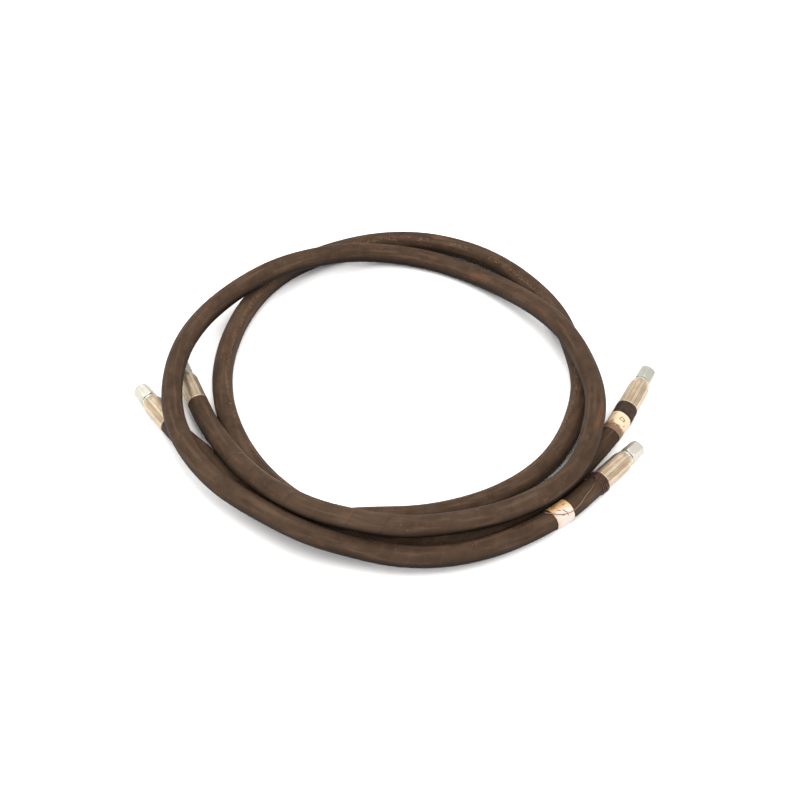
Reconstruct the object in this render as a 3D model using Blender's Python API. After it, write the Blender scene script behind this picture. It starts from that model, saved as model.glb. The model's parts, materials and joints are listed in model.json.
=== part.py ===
"""A pair of hydraulic hose assemblies, coiled together on the ground.

Metres, +Z up.  The origin is on the ground, under the middle of the pair.
Each hose is a thick rubber cover over a wire braid and a smooth inner tube.
Each of the four ends has a crimped ferrule, a nipple, and a hexagon swivel nut
that turns on the nipple against a thrust ring.  The upper hose lies over the
lower one wherever the two cross, so it can be lifted off.
"""
import bmesh
import bpy
import numpy as np
from math import ceil, cos, pi, radians, sin, tan

GAP = 0.0003                 # clearance between pieces that touch or nest

# hose, from the outside in
HOSE_RADIUS = 0.013
COVER_WALL = 0.0027
BRAID_WALL = 0.0027
TUBE_WALL = 0.0020
HOSE_SIDES = 10
STATION_STEP = 0.054         # between the points of a hose's centre line
LEAD = 0.012                 # straight run of hose in front of a ferrule

# ferrule, lengths along the fitting from the ferrule's open mouth
FERRULE_WALL = 0.0027
FERRULE_LENGTH = 0.0400      # full diameter
FERRULE_RIM = 0.0006         # bevel round the open mouth
FERRULE_TAPER = 0.0080
FERRULE_TAPER_DROP = 0.0028  # smaller radius at the end of the taper
FERRULE_END_WALL = 0.0085
FERRULE_DIES = 8             # crimping dies, one flat each
FERRULE_FLAT = radians(33)   # angle that one flat spans

# nipple, each step outward from the one before it
TAIL_PLAY = 0.0005           # between the tail and the hose's bore
TAIL_BACK = 0.0020           # tail's end, from the ferrule's open mouth
NIPPLE_WALL = 0.0013
NECK_STEP = 0.0015           # neck outside the tail
NECK_LENGTH = 0.0033         # between ferrule and nut
SHOULDER_STEP = 0.0038       # shoulder outside the neck
SHOULDER_LENGTH = 0.0022
FLANGE_STEP = 0.0008         # flange outside the neck
FLANGE_LENGTH = 0.0030
CONE_ANGLE = radians(12)     # half of the 24 degree sealing cone
CONE_LENGTH = 0.0085
GROOVE_SETBACK = 0.0017      # O-ring groove, from the cone's wide end

# swivel nut, which comes out as M16 x 1.5 and 19 mm across flats
FLANGE_PLAY = 0.00055        # between the flange and the thread
THREAD_DEPTH = 0.00065
NUT_WALL = 0.0015            # outside the thread, at the middle of a flat
NUT_LENGTH = 0.0215
NUT_CHAMFER = 0.0003         # end face inside the flats
NUT_CHAMFER_ANGLE = radians(30)
NUT_BACK_WALL = 0.0040

# rings inside the nut
THRUST_RING_LENGTH = 0.0014
O_RING_THICKNESS = 0.0015

# trim on the hoses
PAPER = 0.0005
UPPER_LABEL_LENGTH = 0.026
LOWER_LABEL_LENGTH = 0.031
LABEL_MARGIN = 0.003         # straight hose past each end of a label
TAPE_LENGTH = 0.0192
WIRE_RADIUS = 0.0005
WIRE_TURNS = 6
WIRE_PITCH = 0.0014
WIRE_STEPS = 14              # points on each turn

# Centre lines, from one ferrule mouth to the other.  A heading is the way the
# fitting points, turned from +X.
UPPER_ROUTE = [
    (0.244, -0.159, 0.015), (0.205, -0.200, 0.015), (0.149, -0.242, 0.017),
    (0.099, -0.267, 0.020), (0.049, -0.280, 0.023), (0.001, -0.282, 0.027),
    (-0.048, -0.275, 0.034), (-0.098, -0.262, 0.042), (-0.153, -0.227, 0.040),
    (-0.204, -0.185, 0.037), (-0.244, -0.136, 0.040), (-0.270, -0.074, 0.041),
    (-0.276, -0.001, 0.042), (-0.266, 0.063, 0.037), (-0.237, 0.127, 0.032),
    (-0.190, 0.170, 0.040), (-0.147, 0.197, 0.043), (-0.105, 0.217, 0.040),
    (-0.064, 0.237, 0.030), (-0.021, 0.249, 0.019), (0.032, 0.244, 0.014),
    (0.093, 0.217, 0.014), (0.144, 0.174, 0.022), (0.182, 0.125, 0.035),
    (0.213, 0.077, 0.041), (0.235, 0.021, 0.041), (0.245, -0.035, 0.039),
    (0.236, -0.102, 0.041), (0.206, -0.171, 0.041), (0.165, -0.208, 0.041),
    (0.108, -0.237, 0.043), (0.056, -0.255, 0.050), (0.007, -0.265, 0.058),
    (-0.040, -0.261, 0.063), (-0.088, -0.246, 0.063), (-0.133, -0.215, 0.056),
    (-0.173, -0.170, 0.043), (-0.212, -0.108, 0.031), (-0.247, -0.029, 0.0135),
]
UPPER_HEADINGS = (radians(47), radians(113))
UPPER_LABEL = 0.076          # middle of the label, from the first ferrule

LOWER_ROUTE = [
    (0.287, -0.0395, 0.014), (0.265, -0.079, 0.014), (0.237, -0.118, 0.013),
    (0.203, -0.161, 0.013), (0.158, -0.201, 0.013), (0.107, -0.231, 0.013),
    (0.057, -0.247, 0.013), (0.005, -0.249, 0.013), (-0.041, -0.238, 0.013),
    (-0.082, -0.216, 0.013), (-0.126, -0.183, 0.013), (-0.164, -0.141, 0.013),
    (-0.194, -0.089, 0.013), (-0.213, -0.033, 0.013), (-0.220, 0.029, 0.013),
    (-0.213, 0.091, 0.013), (-0.193, 0.153, 0.013), (-0.151, 0.215, 0.013),
    (-0.100, 0.252, 0.013), (-0.047, 0.274, 0.013), (0.012, 0.282, 0.013),
    (0.071, 0.271, 0.013), (0.128, 0.241, 0.013), (0.176, 0.193, 0.013),
    (0.211, 0.134, 0.013), (0.228, 0.069, 0.013), (0.233, 0.002, 0.013),
    (0.220, -0.058, 0.013), (0.189, -0.121, 0.013), (0.141, -0.169, 0.014),
    (0.098, -0.198, 0.020), (0.058, -0.220, 0.030), (0.017, -0.234, 0.038),
    (-0.029, -0.239, 0.042), (-0.069, -0.239, 0.0385), (-0.105, -0.231, 0.0295),
    (-0.144, -0.206, 0.017), (-0.185, -0.169, 0.013), (-0.230, -0.119, 0.013),
    (-0.278, -0.065, 0.013),
]
LOWER_HEADINGS = (radians(63), radians(126))
LOWER_LABEL = TAPE_LENGTH + 0.002 + LOWER_LABEL_LENGTH / 2

# Tail of the tie wire: distance from the ferrule, and degrees from the top of
# the hose towards its outer side.
WIRE_TAIL = [
    (0.012, 5), (0.016, 12), (0.028, 26), (0.041, 33), (0.049, 43),
    (0.058, 48), (0.068, 49), (0.079, 38), (0.087, 20), (0.097, -12),
]

# made from the sizes above
BRAID_RADIUS = HOSE_RADIUS - COVER_WALL - GAP
TUBE_RADIUS = BRAID_RADIUS - BRAID_WALL - GAP
TUBE_BORE = TUBE_RADIUS - TUBE_WALL
FERRULE_RADIUS = BRAID_RADIUS + GAP + FERRULE_WALL
FERRULE_END = FERRULE_LENGTH + FERRULE_TAPER
FERRULE_INSIDE = FERRULE_END - FERRULE_END_WALL
HOSE_INSERT = FERRULE_INSIDE - GAP
TAIL_RADIUS = TUBE_BORE - TAIL_PLAY
NIPPLE_BORE = TAIL_RADIUS - NIPPLE_WALL
NECK_RADIUS = TAIL_RADIUS + NECK_STEP
NECK_HOLE = NECK_RADIUS + GAP
SHOULDER_RADIUS = NECK_RADIUS + SHOULDER_STEP
FLANGE_RADIUS = NECK_RADIUS + FLANGE_STEP
THREAD_MINOR = FLANGE_RADIUS + FLANGE_PLAY
THREAD_MAJOR = THREAD_MINOR + THREAD_DEPTH
NUT_APOTHEM = THREAD_MAJOR + NUT_WALL
NUT_BACK = FERRULE_END + NECK_LENGTH
NUT_SEAT = NUT_BACK + NUT_BACK_WALL
NUT_FRONT = NUT_BACK + NUT_LENGTH
FLANGE_BACK = NUT_SEAT + THRUST_RING_LENGTH + 2 * GAP
CONE_BACK = FLANGE_BACK + FLANGE_LENGTH
CONE_RADIUS = FLANGE_RADIUS - GAP
GROOVE_BACK = CONE_BACK + GROOVE_SETBACK
GROOVE_FRONT = GROOVE_BACK + O_RING_THICKNESS + 2 * GAP
GROOVE_RADIUS = CONE_RADIUS - O_RING_THICKNESS
WRAP_RADIUS = HOSE_RADIUS + GAP + PAPER


def circle(count):
    """Angles of evenly spaced corners round an axis."""
    return [2 * pi * k / count for k in range(count)]


def crimp_corners():
    """Angles of the corners of a ferrule: the two edges of each crimped flat."""
    corners = []
    for die in range(FERRULE_DIES):
        middle = 2 * pi * die / FERRULE_DIES
        corners += [middle - FERRULE_FLAT / 2, middle + FERRULE_FLAT / 2]
    return corners


ROUND = circle(12)
HEXAGON = circle(24)
CRIMPED = crimp_corners()


def bore(radius, corners):
    """Corner radius of a many-sided hole that clears a round of this radius."""
    widest = max(b - a for a, b in zip(corners, corners[1:]))
    return radius / cos(widest / 2)


def material(name, colour, roughness, metallic=0.0):
    made = bpy.data.materials.new(name)
    made.use_nodes = True
    shader = made.node_tree.nodes["Principled BSDF"]
    shader.inputs["Base Color"].default_value = (*colour, 1.0)
    shader.inputs["Roughness"].default_value = roughness
    shader.inputs["Metallic"].default_value = metallic
    made.diffuse_color = (*colour, 1.0)
    return made


def empty(name, place=(0, 0, 0), heading=0.0, parent=None):
    made = bpy.data.objects.new(name, None)
    made.location = place
    made.rotation_euler = (0, 0, heading)
    made.parent = parent
    bpy.context.collection.objects.link(made)
    return made


def add_object(name, data, parent, finish):
    data.materials.append(finish)
    made = bpy.data.objects.new(name, data)
    made.parent = parent
    bpy.context.collection.objects.link(made)
    return made


# ---------------------------------------------------------------- turned pieces

def level(corners, along, radius):
    """One round ring of a turned piece."""
    return [(along, radius) for _ in corners]


def turned(name, corners, rings, parent, finish):
    """A closed ring-shaped solid round local +X, through rings of (x, radius)."""
    mesh = bpy.data.meshes.new(name)
    shape = bmesh.new()
    rows = []
    for ring in rings:
        rows.append([
            shape.verts.new((x, radius * cos(angle), radius * sin(angle)))
            for angle, (x, radius) in zip(corners, ring)
        ])
    count = len(corners)
    for here, there in zip(rows, rows[1:] + rows[:1]):
        for k in range(count):
            after = (k + 1) % count
            shape.faces.new((here[k], here[after], there[after], there[k]))
    bmesh.ops.recalc_face_normals(shape, faces=shape.faces)
    shape.to_mesh(mesh)
    shape.free()
    mesh.shade_smooth()
    mesh.set_sharp_from_angle(angle=radians(35))
    return add_object(name, mesh, parent, finish)


def ferrule(name, parent):
    """Crimped shell: a flat for each die, a taper, and an end wall."""
    braid_hole = bore(BRAID_RADIUS + GAP, CRIMPED)
    neck_hole = bore(NECK_HOLE, CRIMPED)
    profile = [
        (0, FERRULE_RADIUS - FERRULE_RIM), (FERRULE_RIM, FERRULE_RADIUS),
        (FERRULE_LENGTH, FERRULE_RADIUS), (FERRULE_END, FERRULE_RADIUS - FERRULE_TAPER_DROP),
        (FERRULE_END, neck_hole), (FERRULE_INSIDE, neck_hole),
        (FERRULE_INSIDE, braid_hole), (0, braid_hole),
    ]
    rings = [level(CRIMPED, x, radius) for x, radius in profile]
    return turned(name, CRIMPED, rings, parent, ZINC_GOLD)


def nipple(name, parent):
    """Tail in the hose, neck, flange behind the nut's seat, and sealing cone."""
    shoulder = FERRULE_END + GAP
    shoulder_front = shoulder + SHOULDER_LENGTH
    cone_front = CONE_BACK + CONE_LENGTH

    def cone(x):
        return CONE_RADIUS - (x - CONE_BACK) * tan(CONE_ANGLE)

    profile = [
        (TAIL_BACK, TAIL_RADIUS), (FERRULE_INSIDE + GAP, TAIL_RADIUS),
        (FERRULE_INSIDE + GAP, NECK_RADIUS), (shoulder, NECK_RADIUS),
        (shoulder, SHOULDER_RADIUS), (shoulder_front, SHOULDER_RADIUS),
        (shoulder_front, NECK_RADIUS), (FLANGE_BACK, NECK_RADIUS),
        (FLANGE_BACK, FLANGE_RADIUS), (CONE_BACK, FLANGE_RADIUS),
        (CONE_BACK, CONE_RADIUS), (GROOVE_BACK, cone(GROOVE_BACK)),
        (GROOVE_BACK, GROOVE_RADIUS), (GROOVE_FRONT, GROOVE_RADIUS),
        (GROOVE_FRONT, cone(GROOVE_FRONT)), (cone_front, cone(cone_front)),
        (cone_front, NIPPLE_BORE), (TAIL_BACK, NIPPLE_BORE),
    ]
    rings = [level(ROUND, x, radius) for x, radius in profile]
    return turned(name, ROUND, rings, parent, STEEL)


def swivel_nut(name, parent):
    """Hexagon nut with chamfered corners, a back wall and a threaded mouth."""
    end_radius = NUT_APOTHEM - NUT_CHAMFER

    def across(angle):
        return NUT_APOTHEM / cos((angle + pi / 6) % (pi / 3) - pi / 6)

    def chamfer(angle):
        return (across(angle) - end_radius) * tan(NUT_CHAMFER_ANGLE)

    minor = bore(THREAD_MINOR, HEXAGON)
    major = bore(THREAD_MAJOR, HEXAGON)
    neck_hole = bore(NECK_HOLE, HEXAGON)
    rings = [
        level(HEXAGON, NUT_BACK, end_radius),
        [(NUT_BACK + chamfer(angle), across(angle)) for angle in HEXAGON],
        [(NUT_FRONT - chamfer(angle), across(angle)) for angle in HEXAGON],
        level(HEXAGON, NUT_FRONT, end_radius),
        level(HEXAGON, NUT_FRONT, major),
        level(HEXAGON, NUT_FRONT - (major - minor), minor),
        level(HEXAGON, NUT_SEAT, minor),
        level(HEXAGON, NUT_SEAT, neck_hole),
        level(HEXAGON, NUT_BACK, neck_hole),
    ]
    return turned(name, HEXAGON, rings, parent, ZINC_SILVER)


def thrust_ring(name, parent):
    """Split wire ring, drawn closed, that the nut pulls against the flange."""
    back = NUT_SEAT + GAP
    front = back + THRUST_RING_LENGTH
    inner = bore(NECK_HOLE, ROUND)
    outer = THREAD_MINOR - GAP
    profile = [(back, outer), (front, outer), (front, inner), (back, inner)]
    rings = [level(ROUND, x, radius) for x, radius in profile]
    return turned(name, ROUND, rings, parent, STEEL)


def o_ring(name, parent):
    """Round rubber ring in the groove of the sealing cone."""
    half = O_RING_THICKNESS / 2
    middle = (GROOVE_BACK + GROOVE_FRONT) / 2
    radius = bore(GROOVE_RADIUS + GAP, ROUND) + half
    rings = [
        level(ROUND, middle + half * cos(turn), radius + half * sin(turn))
        for turn in circle(8)
    ]
    return turned(name, ROUND, rings, parent, RUBBER)


# ---------------------------------------------------------------------- hoses

def direction(heading):
    return np.array([cos(heading), sin(heading), 0.0])


def spline_through(points, start, end, spacing=0.002):
    """Smooth curve through points that leaves and arrives in given directions."""
    points = np.asarray(points, dtype=float)
    spans = np.linalg.norm(np.diff(points, axis=0), axis=1)
    at = np.concatenate([[0.0], np.cumsum(spans)])
    size = len(points)
    system = np.eye(size)
    slopes = np.zeros((size, 3))
    slopes[0], slopes[-1] = start, end
    for i in range(1, size - 1):
        before, after = spans[i - 1], spans[i]
        system[i, i - 1:i + 2] = after, 2 * (before + after), before
        slopes[i] = 3 * (after / before * (points[i] - points[i - 1])
                         + before / after * (points[i + 1] - points[i]))
    slopes = np.linalg.solve(system, slopes)
    line = []
    for here in np.linspace(0.0, at[-1], ceil(at[-1] / spacing) + 1):
        i = min(int(np.searchsorted(at, here, side="right")) - 1, size - 2)
        t = (here - at[i]) / spans[i]
        line.append((2 * t**3 - 3 * t**2 + 1) * points[i]
                    + (t**3 - 2 * t**2 + t) * spans[i] * slopes[i]
                    + (3 * t**2 - 2 * t**3) * points[i + 1]
                    + (t**3 - t**2) * spans[i] * slopes[i + 1])
    line = np.array(line)
    line[:, 2] = np.maximum(line[:, 2], HOSE_RADIUS)
    return line


def centre_line(route, headings):
    """Dense centre line of a hose: straight leads and a smooth curve between."""
    first, last = direction(headings[0]), direction(headings[1])
    points = np.array(route)
    inner = points.copy()
    inner[0] -= LEAD * first
    inner[-1] -= LEAD * last
    curve = spline_through(inner, -first, last)
    return np.vstack([points[:1], curve, points[-1:]])


def point_at(line, distance):
    """The point a given distance along a line."""
    lengths = np.linalg.norm(np.diff(line, axis=0), axis=1)
    at = np.concatenate([[0.0], np.cumsum(lengths)])
    return np.array([np.interp(distance, at, line[:, axis]) for axis in range(3)])


def hose_points(line, label_at, label_length):
    """Points of the hose's own tube, with one straight span under the label."""
    length = np.linalg.norm(np.diff(line, axis=0), axis=1).sum()
    label_start = label_at - label_length / 2 - LABEL_MARGIN
    label_end = label_at + label_length / 2 + LABEL_MARGIN
    stations = [0.0, LEAD]
    if label_start > LEAD + 0.001:
        stations.append(label_start)
    free = length - LEAD - label_end
    steps = ceil(free / STATION_STEP)
    stations += [label_end + free * k / steps for k in range(steps + 1)]
    stations.append(length)
    return [point_at(line, distance) for distance in stations]


def round_curve(name, points, radius, sides, parent, finish):
    """A tube of the given number of sides along straight spans."""
    curve = bpy.data.curves.new(name, "CURVE")
    curve.dimensions = "3D"
    curve.fill_mode = "FULL"
    curve.twist_mode = "Z_UP"
    curve.bevel_depth = radius
    curve.bevel_resolution = sides // 2 - 2
    spline = curve.splines.new("POLY")
    spline.points.add(len(points) - 1)
    for slot, point in zip(spline.points, points):
        slot.co = (*point, 1.0)
    return add_object(name, curve, parent, finish)


def hollow_tube(name, points, radius, wall, parent, finish):
    """A tube with an open bore: a round curve with its wall turned inward."""
    made = round_curve(name, points, radius, HOSE_SIDES, parent, finish)
    thicken = made.modifiers.new("wall", "SOLIDIFY")
    thicken.thickness = wall
    thicken.offset = -1
    thicken.use_even_offset = True
    return made


def hose(prefix, points, headings, parent):
    """Cover, wire braid and inner tube; the last two run on into the ferrules."""
    first, last = direction(headings[0]), direction(headings[1])
    inside = [points[0] + HOSE_INSERT * first] + points + [points[-1] + HOSE_INSERT * last]
    skived = [points[0] - GAP * first] + points[1:-1] + [points[-1] - GAP * last]
    hollow_tube(prefix + "_cover", skived, HOSE_RADIUS, COVER_WALL, parent, COVER)
    hollow_tube(prefix + "_wire_braid", inside, BRAID_RADIUS, BRAID_WALL, parent, STEEL)
    hollow_tube(prefix + "_inner_tube", inside, TUBE_RADIUS, TUBE_WALL, parent, RUBBER)


def fitting(prefix, number, mouth, heading, parent):
    """The five pieces of one hose end, on an empty at the ferrule's mouth."""
    end = empty(f"{prefix}_end_{number}", mouth, heading, parent)
    ferrule(f"{prefix}_ferrule_{number}", end)
    nipple(f"{prefix}_nipple_{number}", end)
    swivel_nut(f"{prefix}_swivel_nut_{number}", end)
    thrust_ring(f"{prefix}_thrust_ring_{number}", end)
    o_ring(f"{prefix}_o_ring_{number}", end)


def band(name, points, start, length, parent, finish):
    """A thin wrap round the hose, which turns where the hose does."""
    line = np.array(points)
    spans = np.linalg.norm(np.diff(line, axis=0), axis=1)
    turns = [at for at in np.cumsum(spans) if start + GAP < at < start + length - GAP]
    places = [point_at(line, at) for at in [start, *turns, start + length]]
    return hollow_tube(name, places, WRAP_RADIUS, PAPER, parent, finish)


def tie_wire(points, heading):
    """Turns of soft wire just behind a ferrule, and a loose tail over the label."""
    along = -direction(heading)
    side = np.array([-along[1], along[0], 0.0])
    up = np.array([0.0, 0.0, 1.0])
    line = np.array(points)
    coil_radius = (HOSE_RADIUS + GAP + WIRE_RADIUS) / cos(pi / WIRE_STEPS)
    tail_radius = WRAP_RADIUS + GAP + 2 * WIRE_RADIUS

    def around(distance, angle, radius):
        return point_at(line, distance) + radius * (cos(angle) * up + sin(angle) * side)

    wire = []
    for step in range(WIRE_TURNS * WIRE_STEPS + 1):
        turn = step / WIRE_STEPS
        wire.append(around(0.0016 + turn * WIRE_PITCH, 2 * pi * turn, coil_radius))
    for distance, degrees in WIRE_TAIL:
        wire.append(around(distance, radians(degrees), tail_radius))
    made = round_curve("tie_wire", wire, WIRE_RADIUS, 8, UPPER, WIRE)
    made.data.use_fill_caps = True


for old in list(bpy.data.objects):
    bpy.data.objects.remove(old)

COVER = material("hose_cover", (0.065, 0.047, 0.036), 0.55)
RUBBER = material("black_rubber", (0.012, 0.012, 0.012), 0.6)
STEEL = material("bright_steel", (0.55, 0.55, 0.53), 0.3, 1.0)
ZINC_GOLD = material("yellow_zinc", (0.72, 0.58, 0.34), 0.32, 1.0)
ZINC_SILVER = material("silver_zinc", (0.78, 0.76, 0.70), 0.3, 1.0)
PAPER_CREAM = material("label_paper", (0.83, 0.72, 0.50), 0.8)
TAPE = material("dark_tape", (0.030, 0.024, 0.022), 0.6)
WIRE = material("rusty_wire", (0.25, 0.12, 0.08), 0.6, 0.6)

LOWER = empty("lower_hose")
UPPER = empty("upper_hose")
for prefix, parent, route, headings, label_at, label_length in (
        ("lower", LOWER, LOWER_ROUTE, LOWER_HEADINGS, LOWER_LABEL, LOWER_LABEL_LENGTH),
        ("upper", UPPER, UPPER_ROUTE, UPPER_HEADINGS, UPPER_LABEL, UPPER_LABEL_LENGTH)):
    tube = hose_points(centre_line(route, headings), label_at, label_length)
    hose(prefix, tube, headings, parent)
    fitting(prefix, 1, route[0], headings[0], parent)
    fitting(prefix, 2, route[-1], headings[1], parent)
    band(prefix + "_label", tube, label_at - label_length / 2, label_length, parent, PAPER_CREAM)
    if parent is LOWER:
        band("lower_tape_band", tube, 2 * GAP, TAPE_LENGTH, parent, TAPE)
    else:
        tie_wire(tube, headings[0])
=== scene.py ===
"""Looks of the pair of coiled hydraulic hose assemblies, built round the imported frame."""

import json
from math import atan2, ceil, cos, pi, radians, sin, tan

import bpy
import numpy as np
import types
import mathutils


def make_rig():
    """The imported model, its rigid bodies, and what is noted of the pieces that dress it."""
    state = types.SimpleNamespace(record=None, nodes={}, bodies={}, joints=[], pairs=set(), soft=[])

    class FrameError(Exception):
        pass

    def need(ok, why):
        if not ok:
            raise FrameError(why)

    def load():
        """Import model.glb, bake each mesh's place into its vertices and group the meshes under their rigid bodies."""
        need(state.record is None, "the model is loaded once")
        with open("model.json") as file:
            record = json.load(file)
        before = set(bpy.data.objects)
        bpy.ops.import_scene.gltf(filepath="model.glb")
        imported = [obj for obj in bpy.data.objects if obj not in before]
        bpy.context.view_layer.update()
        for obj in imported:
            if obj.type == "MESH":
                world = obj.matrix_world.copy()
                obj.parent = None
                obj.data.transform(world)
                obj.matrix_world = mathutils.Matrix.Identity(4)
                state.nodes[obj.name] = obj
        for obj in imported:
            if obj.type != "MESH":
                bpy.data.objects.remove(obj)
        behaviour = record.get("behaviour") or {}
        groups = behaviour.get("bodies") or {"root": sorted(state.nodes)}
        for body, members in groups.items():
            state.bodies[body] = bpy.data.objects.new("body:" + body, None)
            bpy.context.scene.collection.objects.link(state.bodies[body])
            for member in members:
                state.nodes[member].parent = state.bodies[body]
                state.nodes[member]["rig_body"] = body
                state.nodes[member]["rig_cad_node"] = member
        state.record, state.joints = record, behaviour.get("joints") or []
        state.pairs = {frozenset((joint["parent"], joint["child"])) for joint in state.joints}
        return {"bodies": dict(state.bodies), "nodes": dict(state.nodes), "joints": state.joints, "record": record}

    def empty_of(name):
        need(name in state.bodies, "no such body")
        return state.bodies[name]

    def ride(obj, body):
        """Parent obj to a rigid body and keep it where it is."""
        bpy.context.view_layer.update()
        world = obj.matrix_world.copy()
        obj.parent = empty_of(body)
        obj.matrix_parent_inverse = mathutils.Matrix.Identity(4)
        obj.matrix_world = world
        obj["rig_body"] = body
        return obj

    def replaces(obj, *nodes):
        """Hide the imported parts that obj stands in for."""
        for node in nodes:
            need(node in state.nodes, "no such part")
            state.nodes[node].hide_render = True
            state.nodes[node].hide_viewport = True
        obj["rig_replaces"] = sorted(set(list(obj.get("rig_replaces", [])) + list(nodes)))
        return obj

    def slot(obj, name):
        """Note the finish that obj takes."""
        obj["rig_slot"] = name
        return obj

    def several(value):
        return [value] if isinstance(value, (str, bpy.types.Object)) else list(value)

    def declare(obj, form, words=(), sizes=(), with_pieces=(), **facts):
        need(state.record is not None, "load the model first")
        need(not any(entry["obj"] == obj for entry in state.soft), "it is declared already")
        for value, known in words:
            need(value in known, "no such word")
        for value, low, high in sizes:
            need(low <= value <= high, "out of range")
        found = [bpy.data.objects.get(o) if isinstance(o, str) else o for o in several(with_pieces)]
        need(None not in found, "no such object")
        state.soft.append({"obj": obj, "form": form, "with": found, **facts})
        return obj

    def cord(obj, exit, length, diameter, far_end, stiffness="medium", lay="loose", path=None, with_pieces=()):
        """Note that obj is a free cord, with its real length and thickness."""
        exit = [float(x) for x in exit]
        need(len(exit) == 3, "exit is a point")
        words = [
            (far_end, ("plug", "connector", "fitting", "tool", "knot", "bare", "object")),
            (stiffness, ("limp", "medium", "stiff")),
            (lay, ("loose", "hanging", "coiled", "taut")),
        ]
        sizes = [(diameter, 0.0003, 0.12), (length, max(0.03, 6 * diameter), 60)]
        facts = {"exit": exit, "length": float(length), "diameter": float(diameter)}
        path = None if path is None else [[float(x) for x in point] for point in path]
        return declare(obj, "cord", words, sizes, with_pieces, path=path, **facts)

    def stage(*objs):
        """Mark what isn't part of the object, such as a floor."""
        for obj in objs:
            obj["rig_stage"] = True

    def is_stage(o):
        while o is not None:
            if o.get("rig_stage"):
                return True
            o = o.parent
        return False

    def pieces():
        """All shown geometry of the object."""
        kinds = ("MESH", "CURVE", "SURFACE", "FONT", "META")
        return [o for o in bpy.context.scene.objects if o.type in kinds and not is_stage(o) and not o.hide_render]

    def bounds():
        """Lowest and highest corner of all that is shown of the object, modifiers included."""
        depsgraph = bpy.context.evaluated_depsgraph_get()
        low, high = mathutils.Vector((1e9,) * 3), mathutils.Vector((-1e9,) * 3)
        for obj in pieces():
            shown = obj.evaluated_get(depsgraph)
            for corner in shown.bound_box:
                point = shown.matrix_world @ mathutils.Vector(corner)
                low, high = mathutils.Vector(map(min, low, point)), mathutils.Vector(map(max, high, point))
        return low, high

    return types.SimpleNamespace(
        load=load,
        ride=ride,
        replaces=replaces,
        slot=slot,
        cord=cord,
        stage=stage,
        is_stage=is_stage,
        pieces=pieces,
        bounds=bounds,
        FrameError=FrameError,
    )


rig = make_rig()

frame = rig.load()
cad_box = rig.bounds()

# ------------------------------------------------------------------- sizes, in metres

GAP = 0.0003
HOSE_RADIUS = 0.013
BRAID_RADIUS = 0.010
TUBE_RADIUS = 0.007
HOSE_BORE = 0.005
LEAD = 0.012
STEP = 0.006                # between the sections of a hose
HOSE_SIDES = 40
LAYER_SIDES = 32            # of the braid and the inner tube
COVER_INSET = 0.00008       # makes up for most of the cover's swell
WRAP_PITCH = 0.037          # of the cloth wrap's screw line round the covers
LAY_LINE = radians(33)      # from the top of the lower hose towards the coil's middle
DASH_PITCH = 0.0019         # of the lay line's dashes along the hose
DASH_ROW = 0.0016
DASH_GROUP = 0.031

FILM = 0.00022              # thickness of the labels and the tape
FILM_UNDERSIDE = HOSE_RADIUS + 0.0001
FILM_SIDES = 96
LOWER_LABEL = (0.0212, 0.0310)      # start and length along the hose
TAPE_BAND = (0.0009, 0.0190)
UPPER_LABEL = (0.0630, 0.0260)

WIRE_RADIUS = 0.00046
WIRE_TURNS = 6
WIRE_STEPS = 28             # in each turn
KNOT_START = 0.0112
KNOT_LENGTH = 0.0048
KNOT_LOOPS = 4

FERRULE_END = 0.0480
FERRULE_INSIDE = 0.0395
NECK_RADIUS = 0.0060
NECK_HOLE = 0.0063
FLAT_APOTHEM = 0.01243      # of the ferrule's eight pressed flats
NUT_BACK = 0.0513
NUT_BACK_HOLE = 0.0066
NUT_FRONT = 0.0728
NUT_SEAT = 0.0553
NUT_APOTHEM = 0.0095
NUT_CORNER = 0.01083
NUT_CHAMFER_RADIUS = 0.0092
NUT_EASE = 0.00012
THREAD_MINOR = 0.00738
THREAD_MAJOR = 0.0080
THREAD_PITCH = 0.0015
THREAD_RUNOUT = 0.0035
MOUTH_EASE = 0.0002
TAIL_START = 0.002
TAIL_RADIUS = 0.0045
NIPPLE_BORE = 0.0032
SHOULDER_FRONT = 0.0505
SHOULDER_RADIUS = 0.0098
FLANGE_BACK = 0.0573
FLANGE_RADIUS = 0.0068
CONE_BACK = 0.0603
CONE_RADIUS = 0.0065
CONE_NOSE = 0.0688
GROOVE_BACK = 0.0620
GROOVE_FRONT = 0.0641
GROOVE_RADIUS = 0.0050
RING_BACK = 0.0556
RING_FRONT = 0.0570
RING_INNER = 0.0064
RING_OUTER = 0.0072
O_RING_PLACE = 0.06305
O_RING_RADIUS = 0.00605
O_RING_WIRE = 0.00075

# Ferrule from its mouth, out and back in: place, radius, how far the dies pressed it.
FERRULE_PROFILE = [
    (0.0, 0.01235, 0), (0.00012, 0.01265, 0), (0.0004, 0.01285, 0), (0.0009, 0.01295, 0),
    (0.0015, 0.01295, 0), (0.0019, 0.01288, 0.15), (0.0024, 0.01280, 0.6),
    (0.0031, 0.01280, 1), (0.010, 0.01280, 1), (0.020, 0.01280, 1), (0.030, 0.01280, 1),
    (0.0384, 0.01280, 1), (0.0390, 0.01280, 0.8), (0.0396, 0.01276, 0.3),
    (0.0400, 0.01250, 0), (0.0406, 0.01238, 0), (0.0430, 0.01190, 0),
    (0.0460, 0.01115, 0), (0.0472, 0.01080, 0), (0.0477, 0.01050, 0),
    (0.0479, 0.01015, 0), (FERRULE_END, 0.00970, 0), (FERRULE_END, 0.0067, 0),
    (0.0478, NECK_HOLE, 0), (FERRULE_INSIDE, NECK_HOLE, 0),
    (FERRULE_INSIDE, BRAID_RADIUS + GAP, 0), (0.0003, BRAID_RADIUS + GAP, 0),
    (0.0, BRAID_RADIUS + 2 * GAP, 0),
]

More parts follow.
